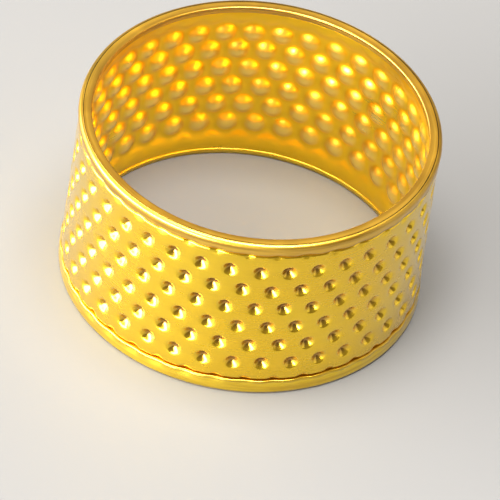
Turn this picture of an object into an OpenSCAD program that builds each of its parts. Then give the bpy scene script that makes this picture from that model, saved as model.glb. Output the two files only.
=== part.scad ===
// Open-ended ring thimble: a dimpled sheet band held between two pressed-on rim hoops.
// Origin at the centre of the lower rim's flat face, +Z along the axis of the ring.

/* [Ring] */
// Outside diameter over the rims
outer_d = 19; // [18:0.5:21]
// Height from rim face to rim face
ring_h = 10.4; // [10.3:0.05:10.5]
// Thickness of the sheet that the band and the rims are pressed from
sheet_t = 0.35; // [0.3:0.01:0.35]

/* [Rims] */
// How far the top rim reaches down the outside of the band
top_rim_depth = 0.69; // [0.65:0.01:0.75]
// How far the bottom rim reaches up the outside of the band
bottom_rim_depth = 0.88; // [0.8:0.01:0.95]
// Radius of each rim's outer edge
rim_outer_round = 0.14; // [0.1:0.01:0.25]
// Radius of each rim's inner edge
rim_inner_round = 0.08; // [0.05:0.01:0.2]
// How far the rims stand proud of the dimpled field
rim_proud = 0.07; // [0.05:0.01:0.12]

/* [Dimples] */
// Whole rows of dimples between the rims
whole_rows = 6; // [2:2:6]
// Dimples in each row
dimples_per_row = 38; // [20:1:38]
// Distance from row to row
row_pitch = 1.28; // [1.25:0.01:1.3]
// Width of a dimple at the surface
dimple_d = 0.92; // [0.6:0.02:1]
// Depth of a dimple
dimple_depth = 0.32; // [0.2:0.01:0.32]
// Angle of the first dimple in the top row, from -Y towards +X
first_angle = 2; // [0:0.5:9]

/* [Hidden] */
outer_r = outer_d / 2;
bore_r = outer_r - 2 * sheet_t;
seat_r = outer_r - sheet_t;
field_r = outer_r - rim_proud;
field_inner_r = field_r - sheet_t;
lip_r = sheet_t / 2;

// The band runs from cap to cap inside the rims. Its outside steps out just under each lip,
// and its inside does so a little further along.
lip_tuck = 0.02;
step_rise = 0.06;
inner_step_start = 0.1;
inner_step_rise = 0.3;

// A dimple is a ball pressed into the field. The bump behind it has the same centre.
ball_r = (pow(dimple_d / 2, 2) + pow(dimple_depth, 2)) / (2 * dimple_depth);
ball_centre_r = field_r - dimple_depth + ball_r;
bump_r = ball_centre_r - bore_r;
angle_pitch = 360 / dimples_per_row;

// The rows are spread evenly about the middle of what the rims leave open.
rows_middle_z = (bottom_rim_depth + ring_h - top_rim_depth) / 2;

brass = "#e1be3c";
rim_brass = "#e6c878";
smooth = 96;

// Height of the middle of a row, counted down from the row under the top rim.
function row_z(row) = rows_middle_z + ((whole_rows + 1) / 2 - row) * row_pitch;

// Direction of a dimple, measured from +X. Every second row is half a pitch round.
function dimple_angle(row, i) = first_angle - 90 + (i + (row % 2) / 2) * angle_pitch;

// One ball at each dimple of the given rows.
module balls(rows, r) {
    for (row = rows, i = [0 : dimples_per_row - 1])
        rotate(dimple_angle(row, i))
            translate([ball_centre_r, 0, row_z(row)])
                sphere(r, $fn = 32);
}

// Lower half of the band's section, up to mid-height, under a rim of the given depth.
module half_section(rim_depth) {
    step_z = rim_depth - lip_tuck;
    inner_step_z = rim_depth + inner_step_start;
    polygon([
        [bore_r, sheet_t],
        [seat_r, sheet_t],
        [seat_r, step_z],
        [field_r, step_z + step_rise],
        [field_r, ring_h / 2],
        [field_inner_r, ring_h / 2],
        [field_inner_r, inner_step_z + inner_step_rise],
        [bore_r, inner_step_z]
    ]);
}

module plain_band() {
    rotate_extrude($fn = smooth)
        union() {
            half_section(bottom_rim_depth);
            translate([0, ring_h])
                mirror([0, 1])
                    half_section(top_rim_depth);
        }
}

// The balls cut down to the bumps that they leave on the inside of the band.
module bumps() {
    intersection() {
        balls([1 : whole_rows], bump_r);
        cylinder(h = ring_h, r = (field_r + field_inner_r) / 2, $fn = smooth);
    }
}

module dimpled_band() {
    color(brass)
        difference() {
            union() {
                plain_band();
                bumps();
            }
            balls([0 : whole_rows + 1], ball_r);
        }
}

// Section of a rim: a cap over both layers and a leg down the outside with a rolled lip.
module rim_section(rim_depth) {
    translate([bore_r + rim_inner_round, rim_inner_round])
        circle(rim_inner_round, $fn = 32);
    translate([outer_r - rim_outer_round, rim_outer_round])
        circle(rim_outer_round, $fn = 32);
    translate([outer_r - lip_r, rim_depth - lip_r])
        circle(lip_r, $fn = 32);
    translate([bore_r + rim_inner_round, 0])
        square([outer_r - rim_outer_round - bore_r - rim_inner_round, sheet_t]);
    translate([bore_r, rim_inner_round])
        square([outer_r - rim_outer_round - bore_r, sheet_t - rim_inner_round]);
    translate([seat_r, rim_outer_round])
        square([sheet_t, rim_depth - lip_r - rim_outer_round]);
}

module rim(rim_depth) {
    color(rim_brass)
        rotate_extrude($fn = smooth)
            rim_section(rim_depth);
}

module bottom_rim() {
    rim(bottom_rim_depth);
}

module top_rim() {
    translate([0, 0, ring_h])
        mirror([0, 0, 1])
            rim(top_rim_depth);
}

dimpled_band();
top_rim();
bottom_rim();
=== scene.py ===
"""Open-ended ring thimble: a dimpled gold sheet band with a folded rim hoop at each end."""

import math

import bpy
import numpy as np
from mathutils import Matrix, Vector


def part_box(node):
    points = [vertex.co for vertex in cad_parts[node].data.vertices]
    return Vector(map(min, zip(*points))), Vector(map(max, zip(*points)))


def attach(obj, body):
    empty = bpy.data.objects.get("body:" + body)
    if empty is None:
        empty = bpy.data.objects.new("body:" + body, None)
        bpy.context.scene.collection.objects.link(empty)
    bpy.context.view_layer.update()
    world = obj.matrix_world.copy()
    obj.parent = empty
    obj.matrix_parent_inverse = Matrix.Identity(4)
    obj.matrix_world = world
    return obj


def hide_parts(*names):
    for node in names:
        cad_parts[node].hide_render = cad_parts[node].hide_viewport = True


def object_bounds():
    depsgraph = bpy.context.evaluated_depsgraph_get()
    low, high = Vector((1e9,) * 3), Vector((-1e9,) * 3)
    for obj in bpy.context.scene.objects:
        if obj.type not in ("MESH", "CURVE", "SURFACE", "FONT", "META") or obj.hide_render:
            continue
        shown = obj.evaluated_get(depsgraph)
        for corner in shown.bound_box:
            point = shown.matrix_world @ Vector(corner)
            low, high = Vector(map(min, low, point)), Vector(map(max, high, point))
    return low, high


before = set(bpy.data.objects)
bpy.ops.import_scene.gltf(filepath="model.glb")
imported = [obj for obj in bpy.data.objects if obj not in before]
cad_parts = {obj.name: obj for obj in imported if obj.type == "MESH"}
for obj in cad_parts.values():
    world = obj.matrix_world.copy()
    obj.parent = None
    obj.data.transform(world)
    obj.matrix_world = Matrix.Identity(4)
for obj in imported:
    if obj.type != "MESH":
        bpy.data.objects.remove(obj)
cad_low, cad_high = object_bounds()

# Sizes in millimetres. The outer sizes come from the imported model.
MM = 0.001
OUTER_R = cad_high.x / MM
RING_H = cad_high.z / MM
BOTTOM_RIM_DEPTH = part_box("bottom_rim")[1].z / MM
TOP_RIM_DEPTH = RING_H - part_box("top_rim")[0].z / MM
SHEET = 0.35
BORE_R = OUTER_R - 2 * SHEET
SEAT_R = OUTER_R - SHEET
FIELD_R = OUTER_R - 0.07
FIELD_INNER_R = FIELD_R - SHEET

# The dimple grid. Row 0 lies partly under the top rim, and row 7 under the bottom one.
ROWS = 8
PER_ROW = 38
ROW_PITCH = 1.28
ROWS_MIDDLE = (BOTTOM_RIM_DEPTH + RING_H - TOP_RIM_DEPTH) / 2
FIRST_ANGLE = math.radians(2.0)
ANGLE_PITCH = 2 * math.pi / PER_ROW
DIMPLE_R = 0.42
DIMPLE_DEPTH = 0.32
DIMPLE_TIP = 0.25
DIMPLE_SHOULDER = 0.04
BUMP_R = 0.56
BUMP_HEIGHT = 0.25
BUMP_FOOT = 0.16
PRESSED_ROUND_R = 0.85
PRESSED_ROUND_DEPTH = 0.012

# The punch wanders a little, and the rims flatten the dimples and bumps that they partly cover.
PUNCH_WANDER = 0.020
DEPTH_VARIATION = 0.05
COVERED_DIMPLE_SHARE = 0.4
COVERED_BUMP_SHARE = 0.5

# Outside, the wall steps out of the rims' seats, and is dented very slightly.
OUTER_STEP_END = 0.13
WALL_DENTS = 0.015

# Inside, the band eases from its plain end lands out to the field. The start and end of
# the step are distances past a rim's lip.
LAND_R = BORE_R + 0.03
INNER_STEP_START = -0.3
INNER_STEP_END = 1.0

# Radii of a rim's section, and how uneven its lip is.
RIM_OUTER_ROUND = 0.22
RIM_INNER_ROUND = 0.08
LIP_ROUND = 0.10
LIP_START = 0.3
LIP_WAVER = 0.015
LIP_SWAY = 0.006
LIP_DENT = 0.06
LIP_DENT_R = 0.55

# Painted shade on a rim: where it starts and where it is full, down from the top of the lip, its
# amount there, and the depth of dent that would be all dark.
PAINTED_SHADE_START = 0.12
PAINTED_SHADE_FULL = 0.02
EDGE_PAINTED_SHADE = 0.8
DARK_DENT = 0.3

# Mesh density round the ring and up the wall.
COLUMNS = PER_ROW * 22
WALL_STEPS = 190

# The tops of the bumps inside are a paler gold: a painted highlight.
BUMP_HIGHLIGHT_GOLD = (1.0, 0.72, 0.11)

# Scales of the metal's noises, and how much of the relief each gives.
LINE_STRETCH = 150.0
HAZE_SCALE = 260.0
PATCH_SCALE = 900.0
GRAIN_SCALE = 9000.0
LINE_RELIEF = 0.6
PATCH_RELIEF = 0.5
GRAIN_RELIEF = 0.15
RELIEF_STRENGTH = 0.35
RELIEF_HEIGHT = 0.00002

# A thin clear lacquer lies over the metal.
COAT_IOR = 1.5
COAT_ROUGHNESS = 0.16

FLOOR_HALF = 1.2
FLOOR_COLOUR = (0.165, 0.162, 0.157)
FLOOR_ROUGHNESS = 0.55
FLOOR_SPECULAR = 0.3

# The lights stand this far from the ring, in metres. The card behind the ring is a warm one.
LIGHT_DISTANCE = 0.6
WHITE = (1.0, 1.0, 1.0)
WARM = (1.0, 0.70, 0.38)
WORLD_COLOUR = (1.0, 0.88, 0.72)
WORLD_STRENGTH = 0.25

# The camera: metres from the ring, then degrees, then millimetres.
CAMERA_DISTANCE = 1.0
CAMERA_ELEVATION = 42.455
CAMERA_LEAN = 8.558
CAMERA_LOWERED = 0.162
SENSOR = 36.0
LENS = 1384.2

rng = np.random.default_rng(38)
jitter = {
    "angle": rng.normal(0, PUNCH_WANDER, (ROWS, PER_ROW)) / FIELD_R,
    "height": rng.normal(0, PUNCH_WANDER, (ROWS, PER_ROW)),
    "depth": 1 + rng.normal(0, DEPTH_VARIATION, (ROWS, PER_ROW)),
}


def smoothstep(low, high, x):
    t = np.clip((x - low) / (high - low), 0, 1)
    return t * t * (3 - 2 * t)


def waves(theta, orders, size, seed):
    """A gentle irregularity round the ring: a few seeded harmonics, no larger than size."""
    local = np.random.default_rng(seed)
    total = np.zeros_like(theta)
    for order in orders:
        total += local.uniform(0.4, 1) * np.cos(order * theta + local.uniform(0, 2 * math.pi))
    return size * total / len(orders)


def row_height(row):
    return ROWS_MIDDLE + ((ROWS - 1) / 2 - row) * ROW_PITCH


def nearest_dimple(theta, z, row):
    """Distance in mm from each point to its nearest dimple in a row, and that dimple's factor."""
    start = FIRST_ANGLE + (row % 2) / 2 * ANGLE_PITCH
    index = np.round((theta - start) / ANGLE_PITCH).astype(int)
    which = index % PER_ROW
    along = (theta - start - index * ANGLE_PITCH - jitter["angle"][row][which]) * FIELD_R
    up = z - row_height(row) - jitter["height"][row][which]
    return np.hypot(along, up), jitter["depth"][row][which]


def bowl(distance, radius, sharpness):
    """1 at the centre and 0 from radius outwards, with a soft shoulder."""
    return np.clip(1 - (distance / radius) ** 2, 0, 1) ** sharpness


def cap(distance, radius, height, softness):
    """Height of a spherical cap at a distance from its centre, its foot rounded over.

    Near the ball's equator the cap gives way to a straight slope, well below the foot.
    """
    ball = (radius**2 + height**2) / (2 * height)
    on_ball = np.minimum(distance, 0.97 * ball)
    slope = 4
    over = np.sqrt(ball**2 - on_ball**2) - (ball - height) - slope * (distance - on_ball)
    return (over + np.hypot(over, softness)) / 2


def pit(distance, radius, depth, tip, softness):
    """Depth of a pit left by a blunt point: sloping sides, with its tip and its rim rounded."""
    rim = math.hypot(radius, tip)
    over = depth * (rim - np.hypot(distance, tip)) / (rim - tip)
    return (over + np.hypot(over, softness)) / 2


def row_share(row, share):
    """1 for the whole rows, and a share for the two that the rims partly cover and flatten."""
    return 1 if 0 < row < ROWS - 1 else share


def dimple_depths(theta, z):
    """Depth of the punched pits and of the metal drawn in round them."""
    deep = np.zeros_like(theta)
    drawn = np.zeros_like(theta)
    for row in range(ROWS):
        distance, factor = nearest_dimple(theta, z, row)
        pressed = pit(distance, DIMPLE_R, DIMPLE_DEPTH, DIMPLE_TIP, DIMPLE_SHOULDER)
        deep = np.maximum(deep, row_share(row, COVERED_DIMPLE_SHARE) * factor * pressed)
        drawn = np.maximum(drawn, PRESSED_ROUND_DEPTH * bowl(distance, PRESSED_ROUND_R, 2))
    return deep, drawn


def bump_heights(theta, z):
    """Height of the bumps that the punch leaves on the inside, the part-covered rows lower."""
    high = np.zeros_like(theta)
    for row in range(ROWS):
        distance, factor = nearest_dimple(theta, z, row)
        bump = np.minimum(factor, 1) * cap(distance, BUMP_R, BUMP_HEIGHT, BUMP_FOOT)
        high = np.maximum(high, row_share(row, COVERED_BUMP_SHARE) * bump)
    return high


def ring_points(theta, radius, z):
    """Points in metres. The angle runs from -Y towards +X."""
    return np.stack([radius * np.sin(theta), -radius * np.cos(theta), z], axis=-1) * MM


def swept_mesh(name, points, attributes):
    """A closed tube of quads: rows follow the section round, and columns follow the ring."""
    steps, columns = points.shape[:2]
    index = np.arange(steps * columns).reshape(steps, columns)
    across = np.roll(index, -1, axis=0)
    along = np.roll(index, -1, axis=1)
    both = np.roll(across, -1, axis=1)
    quads = np.stack([index, along, both, across], axis=-1).reshape(-1, 4)
    mesh = bpy.data.meshes.new(name)
    mesh.vertices.add(steps * columns)
    mesh.vertices.foreach_set("co", points.reshape(-1))
    mesh.loops.add(quads.size)
    mesh.loops.foreach_set("vertex_index", quads.reshape(-1))
    mesh.polygons.add(len(quads))
    mesh.polygons.foreach_set("loop_start", np.arange(len(quads)) * 4)
    mesh.polygons.foreach_set("loop_total", np.full(len(quads), 4))
    mesh.update(calc_edges=True)
    mesh.shade_smooth()
    for key, values in attributes.items():
        layer = mesh.attributes.new(key, "FLOAT", "POINT")
        layer.data.foreach_set("value", values.reshape(-1).astype(np.float32))
    piece = bpy.data.objects.new(name, mesh)
    bpy.context.scene.collection.objects.link(piece)
    return piece


def make_band():
    """The dimpled sheet. Its ends step inwards to lie under the rims."""
    angles = np.linspace(0, 2 * math.pi, COLUMNS, endpoint=False)
    heights = np.linspace(SHEET, RING_H - SHEET, WALL_STEPS)
    theta, z = np.meshgrid(angles, heights)
    past_lip = np.minimum(z - BOTTOM_RIM_DEPTH, RING_H - z - TOP_RIM_DEPTH)

    deep, drawn = dimple_depths(theta, z)
    dented = waves(theta, (2, 3, 5, 9, 14), WALL_DENTS, 1) * smoothstep(0, 2, past_lip)
    out_of_seat = smoothstep(0.0, OUTER_STEP_END, past_lip)
    outer = SEAT_R + (FIELD_R - SEAT_R - deep - drawn + dented) * out_of_seat

    high = bump_heights(theta, z)
    off_land = smoothstep(INNER_STEP_START, INNER_STEP_END, past_lip)
    inner = LAND_R + (FIELD_INNER_R - LAND_R - high) * off_land

    points = np.concatenate([ring_points(theta, outer, z), ring_points(theta, inner, z)[::-1]])
    none = np.zeros_like(theta)
    # Painted shade: the outside is darkened by each dimple's depth and in the groove where the
    # wall steps out of the rims' seats.
    painted_shade = np.concatenate([np.maximum(deep / DIMPLE_DEPTH, 1 - out_of_seat), none])
    inside = np.concatenate([none, np.ones_like(theta)])
    # Painted highlight: a paler gold on the tops of the inside bumps.
    bump_highlight = np.concatenate([none, (high * off_land / BUMP_HEIGHT)[::-1]])
    return swept_mesh("band", points, {"painted_shade": painted_shade, "inside": inside, "bump_highlight": bump_highlight})


def arc(centre_r, centre_z, radius, start, end, steps):
    """Points of a section along an arc, angles in degrees from the outward direction."""
    turn = np.radians(np.linspace(start, end, steps))
    return [(centre_r + radius * math.cos(t), centre_z + radius * math.sin(t)) for t in turn]


def line(start, end, steps):
    """Points of a section along a straight stretch, its end left out."""
    part = np.linspace(0, 1, steps, endpoint=False)[:, None]
    return [tuple(p) for p in np.array(start) * (1 - part) + np.array(end) * part]


def rim_section(depth):
    """Section of the bottom rim: seat, rolled lip, outer face, flat fold and inner edge."""
    lip_top = depth - LIP_ROUND
    face_outer_r = OUTER_R - RIM_OUTER_ROUND
    face_inner_r = BORE_R + RIM_INNER_ROUND
    return np.array(
        line((SEAT_R, SHEET), (SEAT_R, lip_top), 6)
        + arc(SEAT_R + LIP_ROUND, lip_top, LIP_ROUND, 180, 90, 6)
        + arc(OUTER_R - LIP_ROUND, lip_top, LIP_ROUND, 90, 0, 8)
        + line((OUTER_R, lip_top), (OUTER_R, RIM_OUTER_ROUND), 12)
        + arc(face_outer_r, RIM_OUTER_ROUND, RIM_OUTER_ROUND, 0, -90, 12)
        + line((face_outer_r, 0), (face_inner_r, 0), 6)
        + arc(face_inner_r, RIM_INNER_ROUND, RIM_INNER_ROUND, -90, -180, 9)
        + line((BORE_R, RIM_INNER_ROUND), (BORE_R, SHEET), 3)
        + line((BORE_R, SHEET), (SEAT_R, SHEET), 4)
    )


def make_rim(name, top):
    """One folded hoop, its lip a little uneven and pushed in at each dimple beside it.

    The bottom rim has painted shade along its lip and in its dents. On the top rim the section
    runs the other way and the painted shade keeps its rows, so it lies on the inner edge and the
    flat face instead.
    """
    depth = TOP_RIM_DEPTH if top else BOTTOM_RIM_DEPTH
    section = rim_section(depth)
    angles = np.linspace(0, 2 * math.pi, COLUMNS, endpoint=False)
    theta, radius = np.meshgrid(angles, section[:, 0])
    z = np.meshgrid(angles, section[:, 1])[1]
    seed = 11 if top else 21
    row = 0 if top else ROWS - 1

    near_lip = smoothstep(LIP_START, depth, z)
    lip_edge = smoothstep(depth - PAINTED_SHADE_START, depth - PAINTED_SHADE_FULL, z)
    outside = smoothstep(SEAT_R, OUTER_R, radius)
    rise = waves(theta, (3, 7, 13, 29, 47), LIP_WAVER, seed) - LIP_WAVER
    z = z + rise * near_lip

    distance, factor = nearest_dimple(theta, RING_H - z if top else z, row)
    dent = LIP_DENT * factor * bowl(distance, LIP_DENT_R, 1.3) * near_lip
    sway = LIP_SWAY + waves(theta, (2, 5, 8, 17), LIP_SWAY, seed + 1)
    radius = radius - (dent + sway) * outside

    points = ring_points(theta, radius, RING_H - z if top else z)
    if top:
        points = points[::-1]
    # Painted shade along the lip's edge and in the dents.
    painted_shade = np.maximum(dent / DARK_DENT, EDGE_PAINTED_SHADE * lip_edge)
    return swept_mesh(name, points, {"painted_shade": painted_shade})


def metal(
    name, colour, deep_colour, line_and_shade_colour, line_scale, line_tint, satin, inner_painted_light_colour=None
):
    """Polished gold-coloured metal with haze, painted shade in the recesses and fine working
    lines.

    A piece without an "inside" attribute, such as a rim, is outside all over.
    """
    material = bpy.data.materials.new(name)
    material.use_nodes = True
    nodes = material.node_tree.nodes
    link = material.node_tree.links.new
    shader = nodes["Principled BSDF"]
    shader.inputs["Metallic"].default_value = 1.0
    shader.inputs["Coat IOR"].default_value = COAT_IOR
    shader.inputs["Coat Roughness"].default_value = COAT_ROUGHNESS

    place = nodes.new("ShaderNodeTexCoord")

    def noise(scale, detail, vector=None, roughness=0.5):
        node = nodes.new("ShaderNodeTexNoise")
        node.inputs["Scale"].default_value = scale
        node.inputs["Detail"].default_value = detail
        node.inputs["Roughness"].default_value = roughness
        link(vector or place.outputs["Object"], node.inputs["Vector"])
        return node.outputs["Fac"]

    def spread(value, low, high, to_low, to_high):
        node = nodes.new("ShaderNodeMapRange")
        node.inputs["From Min"].default_value = low
        node.inputs["From Max"].default_value = high
        node.inputs["To Min"].default_value = to_low
        node.inputs["To Max"].default_value = to_high
        link(value, node.inputs["Value"])
        return node.outputs["Result"]

    def mix(factor, first, second):
        node = nodes.new("ShaderNodeMix")
        node.data_type = "RGBA"
        for socket, value in ((node.inputs[6], first), (node.inputs[7], second)):
            if isinstance(value, tuple):
                socket.default_value = (*value, 1)
            else:
                link(value, socket)
        link(factor, node.inputs[0])
        return node.outputs[2]

    def maths(operation, first, second=0.0):
        node = nodes.new("ShaderNodeMath")
        node.operation = operation
        for socket, value in zip(node.inputs, (first, second)):
            if isinstance(value, (int, float)):
                socket.default_value = value
            else:
                link(value, socket)
        return node.outputs["Value"]

    def attribute(key):
        node = nodes.new("ShaderNodeAttribute")
        node.attribute_name = key
        return node.outputs["Fac"]

    # Lines left by working the sheet round the ring: noise stretched along the ring, which
    # changes quickly only with the distance from the axis plus the height.
    split = nodes.new("ShaderNodeSeparateXYZ")
    link(place.outputs["Object"], split.inputs["Vector"])
    x_squared = maths("MULTIPLY", split.outputs["X"], split.outputs["X"])
    y_squared = maths("MULTIPLY", split.outputs["Y"], split.outputs["Y"])
    from_axis = maths("SQRT", maths("ADD", x_squared, y_squared))
    along_section = maths("ADD", from_axis, split.outputs["Z"])
    stretched = nodes.new("ShaderNodeCombineXYZ")
    link(maths("MULTIPLY", split.outputs["X"], LINE_STRETCH), stretched.inputs["X"])
    link(maths("MULTIPLY", split.outputs["Y"], LINE_STRETCH), stretched.inputs["Y"])
    link(maths("MULTIPLY", along_section, line_scale), stretched.inputs["Z"])
    lines = noise(1.0, 4.0, stretched.outputs["Vector"], 0.6)

    haze = noise(HAZE_SCALE, 3.0)
    patches = noise(PATCH_SCALE, 5.0, roughness=0.6)
    grain = noise(GRAIN_SCALE, 2.0)

    # Colour: deeper in the haze and the patches, dark in the lines, and darker still where shade
    # is painted into the recesses.
    base = mix(spread(haze, 0.35, 0.65, 0.0, 0.45), colour, deep_colour)
    base = mix(spread(patches, 0.55, 0.75, 0.0, 0.25), base, deep_colour)
    # The working lines and the painted shade share one darker colour.
    base = mix(spread(lines, 0.42, 0.62, 0.0, line_tint), base, line_and_shade_colour)
    # Painted shade in the dimples, the seat grooves and along the rims' lips.
    base = mix(spread(attribute("painted_shade"), 0.2, 0.9, 0.0, 1.0), base, line_and_shade_colour)
    if inner_painted_light_colour:
        # Inside, a brighter, redder gold: painted light.
        base = mix(attribute("inside"), base, inner_painted_light_colour)
        # Painted highlight: a paler gold on the tops of the bumps.
        base = mix(spread(attribute("bump_highlight"), 0.2, 0.9, 0.0, 1.0), base, BUMP_HIGHLIGHT_GOLD)
    link(base, shader.inputs["Base Color"])

    # Roughness: polished, but duller in the patches and on the inside.
    rough = spread(haze, 0.3, 0.7, 0.17, 0.26)
    rough = maths("ADD", rough, spread(lines, 0.3, 0.7, -0.02, 0.05))
    rough = maths("ADD", rough, spread(patches, 0.5, 0.8, 0.0, 0.08))
    rough = maths("ADD", rough, spread(attribute("inside"), 0.0, 1.0, satin, satin + 0.1))
    link(rough, shader.inputs["Roughness"])

    # Lacquer: thin on the inside, and full in the dimples and on the bump tops with the painted
    # highlight.
    coat = spread(attribute("inside"), 0.0, 1.0, 0.65, 0.2)
    coat = maths("ADD", coat, spread(attribute("painted_shade"), 0.0, 1.0, 0.0, 0.35))
    coat = maths("ADD", coat, spread(attribute("bump_highlight"), 0.2, 0.7, 0.0, 0.8))
    link(coat, shader.inputs["Coat Weight"])

    # Relief: fine lines, grain and patches, on the outside only.
    relief = maths("MULTIPLY", lines, LINE_RELIEF)
    relief = maths("ADD", relief, maths("MULTIPLY", grain, GRAIN_RELIEF))
    relief = maths("ADD", relief, maths("MULTIPLY", patches, PATCH_RELIEF))
    outside = spread(attribute("inside"), 0.0, 1.0, 1.0, 0.0)
    bump = nodes.new("ShaderNodeBump")
    bump.inputs["Strength"].default_value = RELIEF_STRENGTH
    bump.inputs["Distance"].default_value = RELIEF_HEIGHT
    link(maths("MULTIPLY", relief, outside), bump.inputs["Height"])
    link(bump.outputs["Normal"], shader.inputs["Normal"])
    return material


def floor_material():
    material = bpy.data.materials.new("pale_floor")
    material.use_nodes = True
    shader = material.node_tree.nodes["Principled BSDF"]
    shader.inputs["Base Color"].default_value = (*FLOOR_COLOUR, 1)
    shader.inputs["Roughness"].default_value = FLOOR_ROUGHNESS
    shader.inputs["Specular IOR Level"].default_value = FLOOR_SPECULAR
    return material


def make_floor():
    half = FLOOR_HALF
    mesh = bpy.data.meshes.new("floor")
    corners = [(-half, -half, 0), (half, -half, 0), (half, half, 0), (-half, half, 0)]
    mesh.from_pydata(corners, [], [(0, 1, 2, 3)])
    mesh.materials.append(floor_material())
    floor = bpy.data.objects.new("floor", mesh)
    bpy.context.scene.collection.objects.link(floor)


def softbox(name, azimuth, elevation, size, power, colour=WHITE):
    """An area light aimed at the ring. Azimuth 0 is in front (-Y), and 90 is at the right."""
    a = math.radians(azimuth)
    e = math.radians(elevation)
    back = Vector((math.sin(a) * math.cos(e), -math.cos(a) * math.cos(e), math.sin(e)))
    data = bpy.data.lights.new(name, "AREA")
    data.shape = "RECTANGLE"
    data.size, data.size_y = size
    data.energy = power
    data.color = colour
    light = bpy.data.objects.new(name, data)
    light.location = back * LIGHT_DISTANCE
    light.rotation_euler = back.to_track_quat("Z", "Y").to_euler()
    light.visible_camera = False
    bpy.context.scene.collection.objects.link(light)


def make_lights():
    # Azimuth and elevation in degrees, size in metres, power in watts.
    softbox("front_left_softbox", -60, 20, (1.10, 0.39), 26.2)
    softbox("left_softbox", -118, 24, (0.26, 0.36), 2.0)
    softbox("right_fill", 100, 20, (0.60, 0.36), 0.5)
    softbox("overhead_softbox", 0, 88, (0.36, 0.36), 9.0)
    softbox("back_panel", 175, 42, (0.60, 0.32), 0.18, WARM)
    world = bpy.data.worlds.new("studio")
    bpy.context.scene.world = world
    world.use_nodes = True
    background = world.node_tree.nodes["Background"]
    background.inputs["Color"].default_value = (*WORLD_COLOUR, 1)
    background.inputs["Strength"].default_value = WORLD_STRENGTH


def make_camera():
    """The photograph's view: from above, leaning, and aimed just below the ring's middle."""
    data = bpy.data.cameras.new("camera")
    data.sensor_width = SENSOR
    data.lens = LENS
    data.clip_start = 0.01
    data.clip_end = 10
    camera = bpy.data.objects.new("camera", data)
    bpy.context.scene.collection.objects.link(camera)
    e = math.radians(CAMERA_ELEVATION)
    middle = Vector((0, 0, RING_H / 2 * MM))
    place = Vector((0, -math.cos(e), math.sin(e))) * CAMERA_DISTANCE + middle
    camera.matrix_world = (
        Matrix.Translation(place)
        @ Matrix.Rotation(math.pi / 2 - e, 4, "X")
        @ Matrix.Rotation(math.radians(CAMERA_LEAN), 4, "Z")
        @ Matrix.Rotation(math.radians(-CAMERA_LOWERED), 4, "X")
    )
    bpy.context.scene.camera = camera


def dress(piece, node, material):
    piece.data.materials.append(material)
    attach(piece, "root")
    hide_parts(node)


# The band's inside gold is brighter and redder than its outside gold: painted light.
band_gold = metal(
    "band_gold",
    colour=(0.94, 0.63, 0.02),
    deep_colour=(0.92, 0.55, 0.01),
    line_and_shade_colour=(0.38, 0.19, 0.02),
    line_scale=9000.0,
    line_tint=0.08,
    satin=0.0,
    inner_painted_light_colour=(1.0, 0.64, 0.02),
)
# The upper rim's gold is darker and browner than the lower rim's: painted shade on its top face.
upper_gold_painted_shade = metal(
    "upper_gold_painted_shade",
    colour=(0.74, 0.46, 0.05),
    deep_colour=(0.68, 0.38, 0.03),
    line_and_shade_colour=(0.42, 0.22, 0.015),
    line_scale=3200.0,
    line_tint=0.9,
    satin=0.15,
)
lower_gold = metal(
    "lower_gold",
    colour=(0.96, 0.68, 0.04),
    deep_colour=(0.93, 0.60, 0.02),
    line_and_shade_colour=(0.62, 0.36, 0.015),
    line_scale=3200.0,
    line_tint=0.6,
    satin=0.08,
)
dress(make_band(), "dimpled_band", band_gold)
dress(make_rim("upper_hoop", True), "top_rim", upper_gold_painted_shade)
dress(make_rim("lower_hoop", False), "bottom_rim", lower_gold)

make_floor()
make_lights()
make_camera()
bpy.context.scene.view_settings.view_transform = "Standard"
